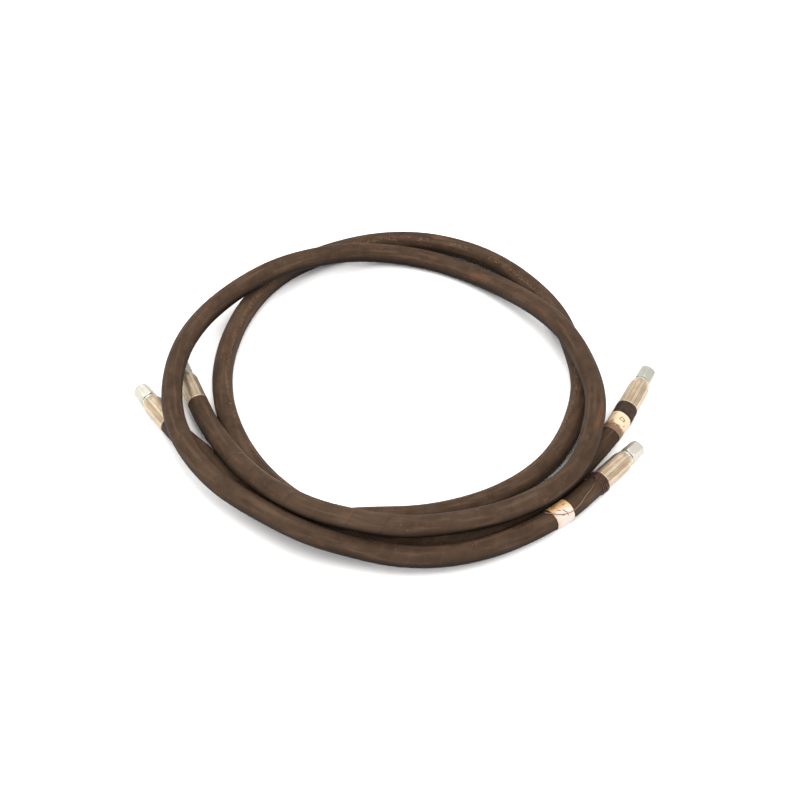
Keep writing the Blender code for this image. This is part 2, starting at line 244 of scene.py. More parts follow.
UPPER_ROUTE = [
    (0.244, -0.159, 0.015), (0.205, -0.200, 0.015), (0.149, -0.242, 0.017),
    (0.099, -0.267, 0.020), (0.049, -0.280, 0.023), (0.001, -0.282, 0.027),
    (-0.048, -0.275, 0.034), (-0.098, -0.262, 0.042), (-0.153, -0.227, 0.040),
    (-0.204, -0.185, 0.037), (-0.244, -0.136, 0.040), (-0.270, -0.074, 0.041),
    (-0.276, -0.001, 0.042), (-0.266, 0.063, 0.037), (-0.237, 0.127, 0.032),
    (-0.190, 0.170, 0.040), (-0.147, 0.197, 0.043), (-0.105, 0.217, 0.040),
    (-0.064, 0.237, 0.030), (-0.021, 0.249, 0.019), (0.032, 0.244, 0.014),
    (0.093, 0.217, 0.014), (0.144, 0.174, 0.022), (0.182, 0.125, 0.035),
    (0.213, 0.077, 0.041), (0.235, 0.021, 0.041), (0.245, -0.035, 0.039),
    (0.236, -0.102, 0.041), (0.206, -0.171, 0.041), (0.165, -0.208, 0.041),
    (0.108, -0.237, 0.043), (0.056, -0.255, 0.050), (0.007, -0.265, 0.058),
    (-0.040, -0.261, 0.063), (-0.088, -0.246, 0.063), (-0.133, -0.215, 0.056),
    (-0.173, -0.170, 0.043), (-0.212, -0.108, 0.031), (-0.247, -0.029, 0.0135),
]
LOWER_ROUTE = [
    (0.287, -0.0395, 0.014), (0.265, -0.079, 0.014), (0.237, -0.118, 0.013),
    (0.203, -0.161, 0.013), (0.158, -0.201, 0.013), (0.107, -0.231, 0.013),
    (0.057, -0.247, 0.013), (0.005, -0.249, 0.013), (-0.041, -0.238, 0.013),
    (-0.082, -0.216, 0.013), (-0.126, -0.183, 0.013), (-0.164, -0.141, 0.013),
    (-0.194, -0.089, 0.013), (-0.213, -0.033, 0.013), (-0.220, 0.029, 0.013),
    (-0.213, 0.091, 0.013), (-0.193, 0.153, 0.013), (-0.151, 0.215, 0.013),
    (-0.100, 0.252, 0.013), (-0.047, 0.274, 0.013), (0.012, 0.282, 0.013),
    (0.071, 0.271, 0.013), (0.128, 0.241, 0.013), (0.176, 0.193, 0.013),
    (0.211, 0.134, 0.013), (0.228, 0.069, 0.013), (0.233, 0.002, 0.013),
    (0.220, -0.058, 0.013), (0.189, -0.121, 0.013), (0.141, -0.169, 0.014),
    (0.098, -0.198, 0.020), (0.058, -0.220, 0.030), (0.017, -0.234, 0.038),
    (-0.029, -0.239, 0.042), (-0.069, -0.239, 0.0385), (-0.105, -0.231, 0.0295),
    (-0.144, -0.206, 0.017), (-0.185, -0.169, 0.013), (-0.230, -0.119, 0.013),
    (-0.278, -0.065, 0.013),
]
UPPER_HEADINGS = (radians(47), radians(113))
LOWER_HEADINGS = (radians(63), radians(126))

# The wire's loose end: metres along the hose, degrees from the top.
WIRE_TAIL = [
    (0.011, 3), (0.013, 7), (0.016, 13), (0.022, 18), (0.028, 27), (0.035, 29), (0.041, 33),
    (0.049, 43), (0.058, 49), (0.068, 50), (0.079, 38), (0.087, 20), (0.097, -12),
]

# How far the loose end stands off the hose, at places along it.
WIRE_RISE = [(0.010, 0.0003), (0.056, 0.0004), (0.061, 0.0010), (0.090, 0.0010), (0.098, 0.0022)]

# Strokes on the labels: middle along and round the hose, lean, half length, half width.
LOWER_STROKES = [
    (0.0300, -0.0030, 0.3, 0.0030, 0.0010), (0.0326, -0.0056, 1.5, 0.0027, 0.0010),
    (0.0290, -0.0066, 1.9, 0.0023, 0.0009), (0.0312, -0.0088, 0.2, 0.0024, 0.0010),
    (0.0400, 0.0040, 0.1, 0.0034, 0.0012), (0.0430, -0.0020, 1.4, 0.0030, 0.0011),
    (0.0258, 0.0060, 0.9, 0.0020, 0.0007), (0.0372, -0.0120, 0.5, 0.0022, 0.0007),
]
UPPER_STROKES = [
    (0.0804, 0.0070, 1.2, 0.0036, 0.0012), (0.0766, 0.0078, 0.2, 0.0028, 0.0011),
    (0.0834, 0.0040, 0.6, 0.0024, 0.0010), (0.0742, -0.0062, 1.0, 0.0030, 0.0009),
    (0.0770, -0.0096, 0.1, 0.0028, 0.0009), (0.0722, -0.0110, 1.6, 0.0024, 0.0008),
    (0.0690, 0.0010, 0.4, 0.0022, 0.0008), (0.0794, -0.0024, 0.9, 0.0022, 0.0008),
]


# ------------------------------------------------------------------- camera, floor and light

def added(name, data):
    made = bpy.data.objects.new(name, data)
    bpy.context.collection.objects.link(made)
    return made


def camera():
    data = bpy.data.cameras.new("camera")
    data.sensor_width = 36
    data.lens = 71.7
    data.clip_end = 50
    made = added("camera", data)
    made.location = (0.0051, -1.4071, 1.4452)
    made.rotation_euler = (radians(44), 0, 0)
    bpy.context.scene.camera = made


def area_light(name, place, aim, size, power, colour):
    data = bpy.data.lights.new(name, "AREA")
    data.shape = "RECTANGLE"
    data.size, data.size_y = size
    data.energy = power
    data.color = colour
    made = added(name, data)
    made.location = place
    toward = np.array(aim, dtype=float) - np.array(place)
    yaw = atan2(toward[1], toward[0]) - pi / 2
    pitch = pi / 2 + atan2(toward[2], np.hypot(toward[0], toward[1]))
    made.rotation_euler = (pitch, 0, yaw)


def sky():
    """White surroundings, brighter overhead and towards the left."""
    world = bpy.data.worlds.new("world")
    bpy.context.scene.world = world
    world.use_nodes = True
    tree = world.node_tree
    aim = tree.nodes.new("ShaderNodeTexCoord").outputs["Generated"]
    lean = tree.nodes.new("ShaderNodeVectorMath")
    lean.operation = "DOT_PRODUCT"
    lean.inputs[1].default_value = (-0.34, -0.20, 0.92)
    tree.links.new(aim, lean.inputs[0])
    glow = tree.nodes.new("ShaderNodeMapRange")
    glow.interpolation_type = "SMOOTHSTEP"
    for key, value in (("From Min", -0.2), ("From Max", 0.95), ("To Min", 0.98), ("To Max", 1.36)):
        glow.inputs[key].default_value = value
    tree.links.new(lean.outputs["Value"], glow.inputs["Value"])
    backdrop = tree.nodes["Background"]
    backdrop.inputs["Color"].default_value = (1.0, 0.99, 0.975, 1)
    tree.links.new(glow.outputs["Result"], backdrop.inputs["Strength"])


# ------------------------------------------------------------------- shader building

class Shader:
    """A material whose nodes are added one call at a time."""

    def __init__(self, name):
        self.material = bpy.data.materials.new(name)
        self.material.use_nodes = True
        self.tree = self.material.node_tree
        self.surface = self.tree.nodes["Principled BSDF"]

    def add(self, kind, inputs=(), **settings):
        made = self.tree.nodes.new("ShaderNode" + kind)
        for key, value in settings.items():
            setattr(made, key, value)
        for key, value in dict(inputs).items():
            self.put(made.inputs[key], value)
        return made

    def put(self, socket, value):
        if isinstance(value, bpy.types.NodeSocket):
            self.tree.links.new(value, socket)
        else:
            socket.default_value = value

    def set(self, **values):
        for key, value in values.items():
            self.put(self.surface.inputs[key.replace("_", " ")], value)

    def math(self, operation, first, second=0.0):
        return self.add("Math", {0: first, 1: second}, operation=operation).outputs[0]

    def plus(self, first, second):
        return self.math("ADD", first, second)

    def minus(self, first, second):
        return self.math("SUBTRACT", first, second)

    def times(self, first, second):
        return self.math("MULTIPLY", first, second)

    def mix(self, factor, first, second):
        """A colour between two others; colours are sockets or three numbers."""
        made = self.add("Mix", data_type="RGBA")
        self.put(made.inputs["Factor"], factor)
        for socket, value in ((made.inputs[6], first), (made.inputs[7], second)):
            self.put(socket, value if isinstance(value, bpy.types.NodeSocket) else (*value, 1))
        return made.outputs[2]

    def tint(self, base, mask, strength, colour):
        """Lay a colour over the base where the mask is 1."""
        return self.mix(self.times(mask, strength), base, colour)

    def band(self, value, low, high):
        """0 below low, 1 above high, smooth between; low may be the larger."""
        made = self.add("MapRange", {"Value": value, "From Min": low, "From Max": high},
                        interpolation_type="SMOOTHSTEP", clamp=True)
        return made.outputs["Result"]

    def noise(self, vector, scale, detail, rough=0.5, stretch=None, shift=None):
        if stretch or shift:
            vector = self.add("Mapping", {"Vector": vector, "Scale": stretch or (1, 1, 1),
                                          "Location": shift or (0, 0, 0)}).outputs[0]
        made = self.add("TexNoise", {"Vector": vector, "Scale": scale,
                                     "Detail": detail, "Roughness": rough})
        return made.outputs["Fac"]

    def rest(self):
        """Place on the piece before it was bent: across, across, and along, in metres."""
        return self.add("Attribute", attribute_name="rest").outputs["Vector"]

    def polar(self, at):
        """How far along the piece, and the angle round it."""
        split = self.add("SeparateXYZ", {0: at}).outputs
        return split["Z"], self.math("ARCTAN2", split["Y"], split["X"])

    def crossed(self, along, angle, pitch, starts):
        """Two sets of waves that wind round the piece in opposite ways."""
        rise = self.times(along, 2 * pi / pitch)
        return [self.math("SINE", self.plus(rise, self.times(angle, starts * lean)))
                for lean in (1, -1)]

    def bump(self, height, depth, under=None):
        inputs = {"Height": height, "Distance": depth, "Strength": 1.0}
        if under is not None:
            inputs["Normal"] = under
        return self.add("Bump", inputs).outputs["Normal"]


def hose_rubber(name, shift, lay_line):
    """Cloth-wrapped brown-black rubber: wrap marks, fabric grain, dust, scuffs, and painted shade on the undersides.
    """
    s = Shader(name)
    at = s.rest()
    along, angle = s.polar(at)
    turn = s.math("DIVIDE", angle, 2 * pi)

    blotch = s.noise(at, 16, 4, 0.55, shift=shift)
    streak = s.noise(at, 170, 4, 0.6, stretch=(1, 1, 0.10), shift=shift)
    fine = s.noise(at, 620, 5, 0.65)
    base = s.mix(s.band(blotch, 0.35, 0.68), (0.034, 0.0202, 0.0126), (0.050, 0.0304, 0.0193))
    base = s.tint(base, s.band(streak, 0.48, 0.68), 0.55, (0.086, 0.053, 0.034))
    base = s.tint(base, s.band(streak, 0.42, 0.25), 0.50, (0.020, 0.012, 0.008))

    # rusty smears and small pale scuffs
    smear = s.noise(at, 46, 5, 0.6, stretch=(1, 1, 0.35), shift=(shift[1], shift[0], 3.7))
    base = s.tint(base, s.band(smear, 0.58, 0.72), 0.62, (0.105, 0.044, 0.021))
    scuff = s.noise(at, 240, 3, 0.7, stretch=(0.5, 0.5, 1.6), shift=(5.1, shift[2], 1.3))
    patch = s.noise(at, 22, 2, 0.5, shift=(shift[2], 8.3, 2.9))
    scuffed = s.times(s.band(scuff, 0.64, 0.72), s.band(patch, 0.5, 0.66))
    base = s.tint(base, scuffed, 0.75, (0.165, 0.120, 0.088))

    # the wrap's edge runs round the hose as a long screw line, a bit unevenly
    wander = s.times(s.minus(s.noise(at, 30, 2), 0.5), 0.30)
    lap = s.math("FRACT", s.plus(s.times(along, 1 / WRAP_PITCH), s.plus(turn, wander)))
    edge = s.times(s.band(lap, 0.0, 0.015), s.band(lap, 0.085, 0.02))
    seen = s.times(edge, s.band(blotch, 0.45, 0.60))
    base = s.tint(base, seen, 0.25, (0.016, 0.010, 0.007))
    beside = s.times(s.band(lap, 0.09, 0.12), s.band(lap, 0.20, 0.13))
    base = s.tint(base, beside, 0.06, (0.11, 0.075, 0.052))

    # dust lies on what faces up; what faces down gets painted shade, darkened towards black
    up = s.add("SeparateXYZ", {0: s.add("NewGeometry").outputs["Normal"]}).outputs["Z"]
    dust = s.times(s.band(up, 0.1, 0.95), s.band(s.noise(at, 75, 4, 0.6), 0.3, 0.75))
    base = s.tint(base, dust, 0.26, (0.100, 0.064, 0.042))
    # painted shade: faces that point down are darkened towards black, standing in for the shade under the hose
    base = s.mix(s.band(up, 0.45, -0.35), base, (0.0050, 0.0030, 0.002))

    # cloth grain
    weave = s.times(*s.crossed(along, angle, 0.0021, 30.0))

    if lay_line:
        base, marks = dashed_lay_line(s, at, along, angle, base)
    roughness = s.plus(0.44, s.times(fine, 0.20))
    roughness = s.plus(roughness, s.times(dust, 0.12))
    normal = s.bump(weave, 0.00005)
    normal = s.bump(fine, 0.00022, under=normal)
    normal = s.bump(s.minus(1.0, edge), 0.00010, under=normal)
    normal = s.bump(streak, 0.0004, under=normal)
    if lay_line:
        normal = s.bump(marks, 0.0001, under=normal)
    s.set(Base_Color=base, Roughness=roughness, Normal=normal, Specular_IOR_Level=0.05)
    return s.material


def dashed_lay_line(s, at, along, angle, base):
    """A row of worn, pale, unreadable dashes along one side of the hose."""
    off = s.times(s.minus(angle, LAY_LINE), HOSE_RADIUS)
    strip = s.band(s.math("ABSOLUTE", off), 0.0030, 0.0024)
    column = s.times(along, 1 / DASH_PITCH)
    cell = s.add("CombineXYZ", {0: s.math("FLOOR", column),
                                1: s.math("FLOOR", s.times(off, 1 / DASH_ROW))}).outputs[0]
    dash = s.add("TexWhiteNoise", {"Vector": cell}, noise_dimensions="2D").outputs["Value"]
    inside = s.math("FRACT", column)
    inside = s.times(s.band(inside, 0.05, 0.2), s.band(inside, 0.95, 0.8))
    group = s.math("FLOOR", s.times(along, 1 / DASH_GROUP))
    group = s.add("TexWhiteNoise", {"W": group}, noise_dimensions="1D").outputs["Value"]
    worn = s.band(s.noise(at, 420, 4, 0.7), 0.38, 0.60)
    marks = s.times(s.math("GREATER_THAN", dash, 0.46), inside)
    marks = s.times(marks, s.times(strip, worn))
    marks = s.times(marks, s.math("GREATER_THAN", group, 0.18))
    return s.tint(base, marks, 0.50, (0.190, 0.105, 0.058)), marks


def plated(name, colour, stain, shade, streaks, roughness, shift, flats=0):
    """Zinc plating with drawn scratches and stains; a broken dark line and a painted highlight line by each ridge."""
    s = Shader(name)
    at = s.rest()
    drawn = s.noise(at, 1100, 3, 0.6, stretch=(1, 1, 0.016), shift=shift)
    cloud = s.noise(at, 110, 5, 0.6, stretch=(1, 1, 0.55), shift=shift)
    spots = s.noise(at, 520, 4, 0.7, shift=(shift[1], 2.2, shift[0]))
    base = s.mix(s.band(cloud, 0.38, 0.68), colour, stain)
    base = s.tint(base, s.band(drawn, 0.48, 0.66), streaks, shade)
    base = s.tint(base, s.band(spots, 0.63, 0.74), 0.55, shade)
    if flats:
        turn = s.times(s.polar(at)[1], flats / (2 * pi))
        off = s.math("ABSOLUTE", s.minus(s.math("FRACT", s.plus(turn, 0.5)), 0.5))
        broken = s.band(s.noise(at, 260, 3, 0.6, shift=shift), 0.34, 0.56)
        # a broken dark line near where each flat meets the round, and a broken painted highlight line nearer the ridge
        for place, tone, much in ((0.30, shade, 0.85), (0.40, (0.80, 0.72, 0.58), 0.55)):
            line = s.band(s.math("ABSOLUTE", s.minus(off, place)), 0.055, 0.012)
            base = s.tint(base, s.times(line, broken), much, tone)
    wear = s.add("NewGeometry").outputs["Pointiness"]
    base = s.tint(base, s.band(wear, 0.52, 0.58), 0.5, (0.72, 0.68, 0.60))
    rough = s.plus(roughness, s.times(cloud, 0.22))
    normal = s.bump(drawn, 0.00010)
    normal = s.bump(spots, 0.00012, under=normal)
    s.set(Base_Color=base, Roughness=rough, Normal=normal, Metallic=0.80)
    return s.material


def plain_steel(name):
    """Turned steel: fine rings and a few dark flecks."""
    s = Shader(name)
    at = s.rest()
    rings = s.noise(at, 1500, 2, 0.5, stretch=(0.05, 0.05, 1))
    flecks = s.noise(at, 600, 4, 0.7)
    base = s.mix(s.band(flecks, 0.55, 0.75), (0.58, 0.56, 0.51), (0.32, 0.30, 0.26))
    normal = s.bump(rings, 0.00006)
    rough = s.plus(0.24, s.times(flecks, 0.2))
    s.set(Base_Color=base, Roughness=rough, Normal=normal, Metallic=1.0)
    return s.material


def braid_steel(name):
    """Crossed bundles of bright wire."""
    s = Shader(name)
    bundles = s.crossed(*s.polar(s.rest()), 0.0052, 12.0)
    height = s.math("MAXIMUM", bundles[0], bundles[1])
    base = s.mix(s.band(height, -0.2, 0.9), (0.16, 0.15, 0.13), (0.62, 0.60, 0.55))
    s.set(Base_Color=base, Roughness=0.35, Metallic=0.9, Normal=s.bump(height, 0.0004))
    return s.material


def black_rubber(name):
    s = Shader(name)
    at = s.rest()
    grain = s.noise(at, 800, 4, 0.6)
    base = s.mix(grain, (0.010, 0.010, 0.010), (0.022, 0.021, 0.020))
    rough = s.plus(0.42, s.times(grain, 0.25))
    s.set(Base_Color=base, Roughness=rough, Normal=s.bump(grain, 0.0001))
    return s.material


def label_film(name, shift, tones, stain, strokes):
    """Aged label: two tones round the hose, darker towards its far end, and a few meaningless strokes."""
    s = Shader(name)
    at = s.rest()
    along, angle = s.polar(at)
    off = s.times(angle, HOSE_RADIUS)
    cloud = s.noise(at, 150, 5, 0.6, shift=shift)
    fibre = s.noise(at, 900, 4, 0.6)
    uneven = s.times(s.minus(cloud, 0.5), 0.016)
    base = s.mix(s.band(s.plus(off, uneven), *tones[0]), tones[1], tones[2])
    base = s.tint(base, s.band(cloud, 0.52, 0.75), 0.6, (0.60, 0.40, 0.20))
    # darker towards the label's far end
    toward_far_end = s.band(s.plus(along, uneven), *stain[0])
    base = s.tint(base, toward_far_end, stain[1], stain[2])
    smudge = s.band(s.noise(at, 260, 4, 0.7, shift=shift), 0.56, 0.72)
    base = s.tint(base, smudge, 0.45, (0.46, 0.25, 0.15))
    wobble = s.times(s.minus(s.noise(at, 500, 3), 0.5), 0.0016)
    ink = 0.0
    for middle, round_it, lean, reach, wide in strokes:
        a = s.minus(along, middle)
        b = s.minus(off, round_it)
        run = s.plus(s.times(a, cos(lean)), s.times(b, sin(lean)))
        rise = s.minus(s.times(b, cos(lean)), s.times(a, sin(lean)))
        stroke = s.times(s.band(s.math("ABSOLUTE", run), reach, reach - 0.0003),
                         s.band(s.math("ABSOLUTE", s.plus(rise, wobble)), wide, wide * 0.4))
        ink = s.math("MAXIMUM", ink, stroke)
    fade = s.band(s.noise(at, 430, 3, 0.6), 0.24, 0.46)
    base = s.tint(base, s.times(ink, fade), 0.88, (0.055, 0.030, 0.022))
    rough = s.plus(0.42, s.times(fibre, 0.3))
    normal = s.bump(fibre, 0.00008)
    normal = s.bump(cloud, 0.0004, under=normal)
    s.set(Base_Color=base, Roughness=rough, Normal=normal, Specular_IOR_Level=0.3)
    return s.material


def cloth_tape(name):
    s = Shader(name)
    at = s.rest()
    along, angle = s.polar(at)
    threads = s.times(s.math("SINE", s.times(angle, 110.0)),
                      s.math("SINE", s.times(along, 2 * pi / 0.0008)))
    cloud = s.noise(at, 260, 5, 0.6)
    base = s.mix(s.band(cloud, 0.35, 0.7), (0.026, 0.0145, 0.0100), (0.044, 0.0260, 0.0180))
    normal = s.bump(threads, 0.00008)
    normal = s.bump(cloud, 0.0005, under=normal)
    s.set(Base_Color=base, Roughness=0.75, Normal=normal, Specular_IOR_Level=0.15)
    return s.material


def rusty_wire(name):
    s = Shader(name)
    at = s.add("TexCoord").outputs["Object"]
    patches = s.noise(at, 420, 4, 0.6)
    base = s.mix(s.band(patches, 0.38, 0.65), (0.040, 0.0160, 0.0120), (0.125, 0.056, 0.041))
    reach = s.add("VectorMath", {0: at, 1: UPPER_ROUTE[0]}, operation="DISTANCE").outputs["Value"]
    base = s.tint(base, s.band(reach, 0.018, 0.040), 0.6, (0.25, 0.150, 0.115))
    rough = s.plus(0.38, s.times(patches, 0.3))
    s.set(Base_Color=base, Roughness=rough, Normal=s.bump(patches, 0.0001), Metallic=0.45)
    return s.material


def floor_paper(name):
    s = Shader(name)
    at = s.add("TexCoord").outputs["Object"]
    mottle = s.noise(at, 14, 3, 0.5)
    base = s.mix(mottle, (0.95, 0.947, 0.953), (0.96, 0.958, 0.961))
    s.set(Base_Color=base, Roughness=0.85, Specular_IOR_Level=0.2)
    return s.material


# ------------------------------------------------------------------- lines and sweeps

def circle(sides):
    return 2 * pi * np.arange(sides) / sides


def direction(heading):
    return np.array([cos(heading), sin(heading), 0.0])


def lengths_along(line):
    spans = np.linalg.norm(np.diff(line, axis=0), axis=1)
    return np.concatenate([[0.0], np.cumsum(spans)])


def spline_through(points, start, end, spacing=0.002):
    """Smooth curve through points that leaves and arrives in given directions."""
    points = np.asarray(points, dtype=float)
    at = lengths_along(points)
    spans = np.diff(at)
    size = len(points)
    system = np.eye(size)
    slopes = np.zeros((size, 3))
    slopes[0], slopes[-1] = start, end
    for i in range(1, size - 1):
        before, after = spans[i - 1], spans[i]
        system[i, i - 1:i + 2] = after, 2 * (before + after), before
        slopes[i] = 3 * (after / before * (points[i] - points[i - 1])
                         + before / after * (points[i + 1] - points[i]))
    slopes = np.linalg.solve(system, slopes)
    line = []
    for here in np.linspace(0.0, at[-1], ceil(at[-1] / spacing) + 1):
        i = min(int(np.searchsorted(at, here, side="right")) - 1, size - 2)
        t = (here - at[i]) / spans[i]
        line.append((2 * t**3 - 3 * t**2 + 1) * points[i]
                    + (t**3 - 2 * t**2 + t) * spans[i] * slopes[i]
                    + (3 * t**2 - 2 * t**3) * points[i + 1]
                    + (t**3 - t**2) * spans[i] * slopes[i + 1])
    line = np.array(line)
    line[:, 2] = np.maximum(line[:, 2], HOSE_RADIUS)
    return line


def centre_line(route, headings):
    """A hose's centre line from ferrule mouth to ferrule mouth."""
    first, last = direction(headings[0]), direction(headings[1])
    points = np.array(route)
    inner = points.copy()
    inner[0] -= LEAD * first
    inner[-1] -= LEAD * last
    curve = spline_through(inner, -first, last)
    return np.vstack([points[:1], curve, points[-1:]])


def at_lengths(line, distances):
    along = lengths_along(line)
    return np.stack([np.interp(distances, along, line[:, k]) for k in range(3)], axis=1)


def frames_along(line):
    """Tangent, side and up at each point; side is tangent x world up."""
    tangent = np.gradient(line, axis=0)
    tangent /= np.linalg.norm(tangent, axis=1)[:, None]
    side = np.cross(tangent, (0, 0, 1))
    side /= np.linalg.norm(side, axis=1)[:, None]
    return tangent, side, np.cross(side, tangent)


def mesh_piece(name, rows, faces, rest, sharp, finish):
    """A smooth mesh that stores where each point lay before the piece was bent."""
    mesh = bpy.data.meshes.new(name)
    mesh.from_pydata(rows.reshape(-1, 3).tolist(), [], faces)
    store = mesh.attributes.new("rest", "FLOAT_VECTOR", "POINT")
    store.data.foreach_set("vector", rest.reshape(-1).astype(np.float32))
    mesh.materials.append(finish)
    mesh.shade_smooth()
    mesh.set_sharp_from_angle(angle=radians(sharp))
    return added(name, mesh)


def grid_mesh(name, rows, rest, finish):
    """A closed mesh: each row of points goes round, and the last row meets the first."""
    rows, rest = np.asarray(rows), np.asarray(rest)
    here = np.arange(rows.shape[0] * rows.shape[1]).reshape(rows.shape[:2])
    there = np.roll(here, -1, axis=0)
    faces = np.stack([here, np.roll(here, -1, axis=1),
                      np.roll(there, -1, axis=1), there], axis=-1)
    return mesh_piece(name, rows, faces.reshape(-1, 4).tolist(), rest, 38, finish)


def placed(piece, body, node, slot):
    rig.ride(piece, body)
    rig.replaces(piece, node)
    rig.slot(piece, slot)
    return piece


def swept_shell(name, line, along, outer, inner, sides, finish):
    """A hose layer: an outer wall, an inner wall and two ends, closed."""
    _, side, up = frames_along(line)
    angle = -circle(sides)
    outer = np.broadcast_to(outer, (len(line), sides))
    inner = np.broadcast_to(inner, (len(line), sides))
    rows, rest = [], []
    for wall, order in ((outer, range(len(line))), (inner, reversed(range(len(line))))):
        for i in order:
            out = np.cos(angle)[:, None] * up[i] + np.sin(angle)[:, None] * side[i]
            rows.append(line[i] + wall[i][:, None] * out)
            rest.append(np.stack([wall[i] * np.cos(angle), wall[i] * np.sin(angle),
                                  np.full(sides, along[i])], axis=1))
    return grid_mesh(name, rows, rest, finish)


def turned(name, mouth, heading, rings, angles, finish):
    """A closed ring-shaped solid round a fitting's axis. rings: (x, radius) per angle."""
    axis = direction(heading)
    across = np.array([-axis[1], axis[0], 0.0])
    up = np.array([0.0, 0.0, 1.0])
    rows, rest = [], []
    for x, radius in rings:
        x = np.broadcast_to(x, angles.shape)
        radius = np.broadcast_to(radius, angles.shape)
        y, z = radius * np.cos(angles), radius * np.sin(angles)
        rows.append(mouth + x[:, None] * axis + y[:, None] * across + z[:, None] * up)
        rest.append(np.stack([y, z, x], axis=1))
    return grid_mesh(name, rows, rest, finish)


def rounded(corners, size):
    """A closed profile of (x, radius) with each corner cut to a small two-step round."""
    made = []
    corners = np.array(corners)
    befores, afters = np.roll(corners, 1, axis=0), np.roll(corners, -1, axis=0)
    for before, here, after in zip(befores, corners, afters):
        back, on = before - here, after - here
        reach = min(size, 0.3 * np.linalg.norm(back), 0.3 * np.linalg.norm(on))
        a = here + back / np.linalg.norm(back) * reach
        b = here + on / np.linalg.norm(on) * reach
        made += [a, (a + b + 2 * here) / 4 + (a + b - 2 * here) * 0.04, b]
    return made


# ------------------------------------------------------------------- fittings

def ferrule(name, mouth, heading, finish, seed):
    """Crimped shell: eight pressed flats with round ridges, plain rims and a taper."""
    angles = circle(160)
    local = (angles + pi / 8) % (pi / 4) - pi / 8
    ridge = 0.01284 + 0.00012 * np.exp(-((np.abs(local) - pi / 8) / radians(2.2)) ** 2)
    pressed = np.minimum(FLAT_APOTHEM / np.cos(local), ridge)
    wobble = 0.00005 * np.sin(8 * angles + seed) + 0.00004 * np.sin(3 * angles + 2 * seed)
    rings = [(x, radius * (1 - press) + (pressed + wobble) * press)
             for x, radius, press in FERRULE_PROFILE]
    return turned(name, mouth, heading, rings, angles, finish)


def nipple(name, mouth, heading, finish):
    """Tail, neck, shoulder, flange and sealing cone with its groove, bored through."""
    def cone(x):
        return x, CONE_RADIUS - (x - CONE_BACK) * tan(radians(12))

    tail_end, shoulder_back = FERRULE_INSIDE + GAP, FERRULE_END + GAP
    profile = [
        (TAIL_START, TAIL_RADIUS), (tail_end, TAIL_RADIUS), (tail_end, NECK_RADIUS),
        (shoulder_back, NECK_RADIUS), (shoulder_back, SHOULDER_RADIUS),
        (SHOULDER_FRONT, SHOULDER_RADIUS), (SHOULDER_FRONT, NECK_RADIUS),
        (FLANGE_BACK, NECK_RADIUS), (FLANGE_BACK, FLANGE_RADIUS), (CONE_BACK, FLANGE_RADIUS),
        (CONE_BACK, CONE_RADIUS), cone(GROOVE_BACK), (GROOVE_BACK, GROOVE_RADIUS),
        (GROOVE_FRONT, GROOVE_RADIUS), cone(GROOVE_FRONT), cone(CONE_NOSE),
        (CONE_NOSE, NIPPLE_BORE), (TAIL_START, NIPPLE_BORE),
    ]
    return turned(name, mouth, heading, rounded(profile, 0.00025), circle(64), finish)


def swivel_nut(name, mouth, heading, finish, turn):
    """Hexagon nut with arched chamfers, eased corners and a real thread in its mouth."""
    angles = circle(144)
    local = (angles - turn + pi / 6) % (pi / 3) - pi / 6
    across = np.minimum(NUT_APOTHEM / np.cos(local), NUT_CORNER)
    spare = across - NUT_CHAMFER_RADIUS
    reach = np.maximum(spare, 0) * tan(radians(30))

    def chamfer(face, inward, parts):
        return [(face + inward * reach * part, NUT_CHAMFER_RADIUS + spare * part)
                for part in parts]

    rings = [(NUT_BACK, NUT_BACK_HOLE), (NUT_BACK, NUT_CHAMFER_RADIUS - 0.0004),
             (NUT_BACK + 0.00005, NUT_CHAMFER_RADIUS - 0.0001)]
    rings += chamfer(NUT_BACK, 1, (0.08, 0.5, 0.94))
    rings.append((NUT_BACK + reach + NUT_EASE, across))
    rings += [(NUT_BACK + (NUT_FRONT - NUT_BACK) * part, across) for part in (0.25, 0.5, 0.75)]
    rings.append((NUT_FRONT - reach - NUT_EASE, across))
    rings += chamfer(NUT_FRONT, -1, (0.94, 0.5, 0.08))
    rings += [(NUT_FRONT - 0.00005, NUT_CHAMFER_RADIUS - 0.0001),
              (NUT_FRONT, NUT_CHAMFER_RADIUS - 0.0004), (NUT_FRONT, THREAD_MAJOR + MOUTH_EASE)]
    x = NUT_FRONT - MOUTH_EASE
    while x > NUT_SEAT + THREAD_RUNOUT:
        rings.append((x, thread_radius(x, angles)))
        x -= THREAD_PITCH / 6
    rings += [(x, THREAD_MINOR), (NUT_SEAT, THREAD_MINOR), (NUT_SEAT, NECK_HOLE),
              (NUT_BACK, NECK_HOLE)]
    return turned(name, mouth, heading, rings, angles, finish)


def thread_radius(x, angles):
    """Internal thread: crests at the minor size, roots at the major, chamfered mouth."""
    phase = (x / THREAD_PITCH - angles / (2 * pi)) % 1.0
    depth = np.clip(1.25 - np.abs(phase - 0.5) * 4, 0, 1) * (THREAD_MAJOR - THREAD_MINOR - 0.0001)
    opened = THREAD_MAJOR - (NUT_FRONT - x) * 0.9
    return np.maximum(THREAD_MINOR + depth, opened)


def thrust_ring(name, mouth, heading, finish):
    profile = [(RING_BACK, RING_OUTER), (RING_FRONT, RING_OUTER),
               (RING_FRONT, RING_INNER), (RING_BACK, RING_INNER)]
    return turned(name, mouth, heading, rounded(profile, 0.0003), circle(64), finish)


def o_ring(name, mouth, heading, finish):
    rings = [(O_RING_PLACE + O_RING_WIRE * cos(a), O_RING_RADIUS + O_RING_WIRE * sin(a))
             for a in circle(16)]
    return turned(name, mouth, heading, rings, circle(64), finish)


